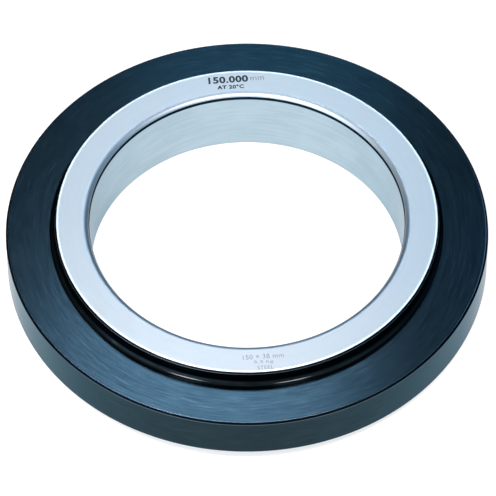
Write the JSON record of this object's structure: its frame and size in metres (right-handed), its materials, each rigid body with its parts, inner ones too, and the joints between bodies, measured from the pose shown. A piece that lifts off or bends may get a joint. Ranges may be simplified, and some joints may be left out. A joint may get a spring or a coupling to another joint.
{
  "type": "setting ring gauge",
  "caption": "Flanged setting ring gauge: a black-finished steel ring with ground hub faces and a ground through bore that sets bore gauges.",
  "frame": {"origin": "centre of the hub's lower face, on the bore axis, which is the plane that the ring rests on", "axes": "+Z along the bore axis, up; the ring is round, so +X and +Y are free, and the size mark on the upper hub face is towards +Y"},
  "size_m": [0.23, 0.23, 0.038],
  "materials": {
    "black_finish": "satin",
    "ground_steel": "satin"
  },
  "bodies": {
    "root": {"setting_ring": "black_finish"}
  },
  "joints": []
}
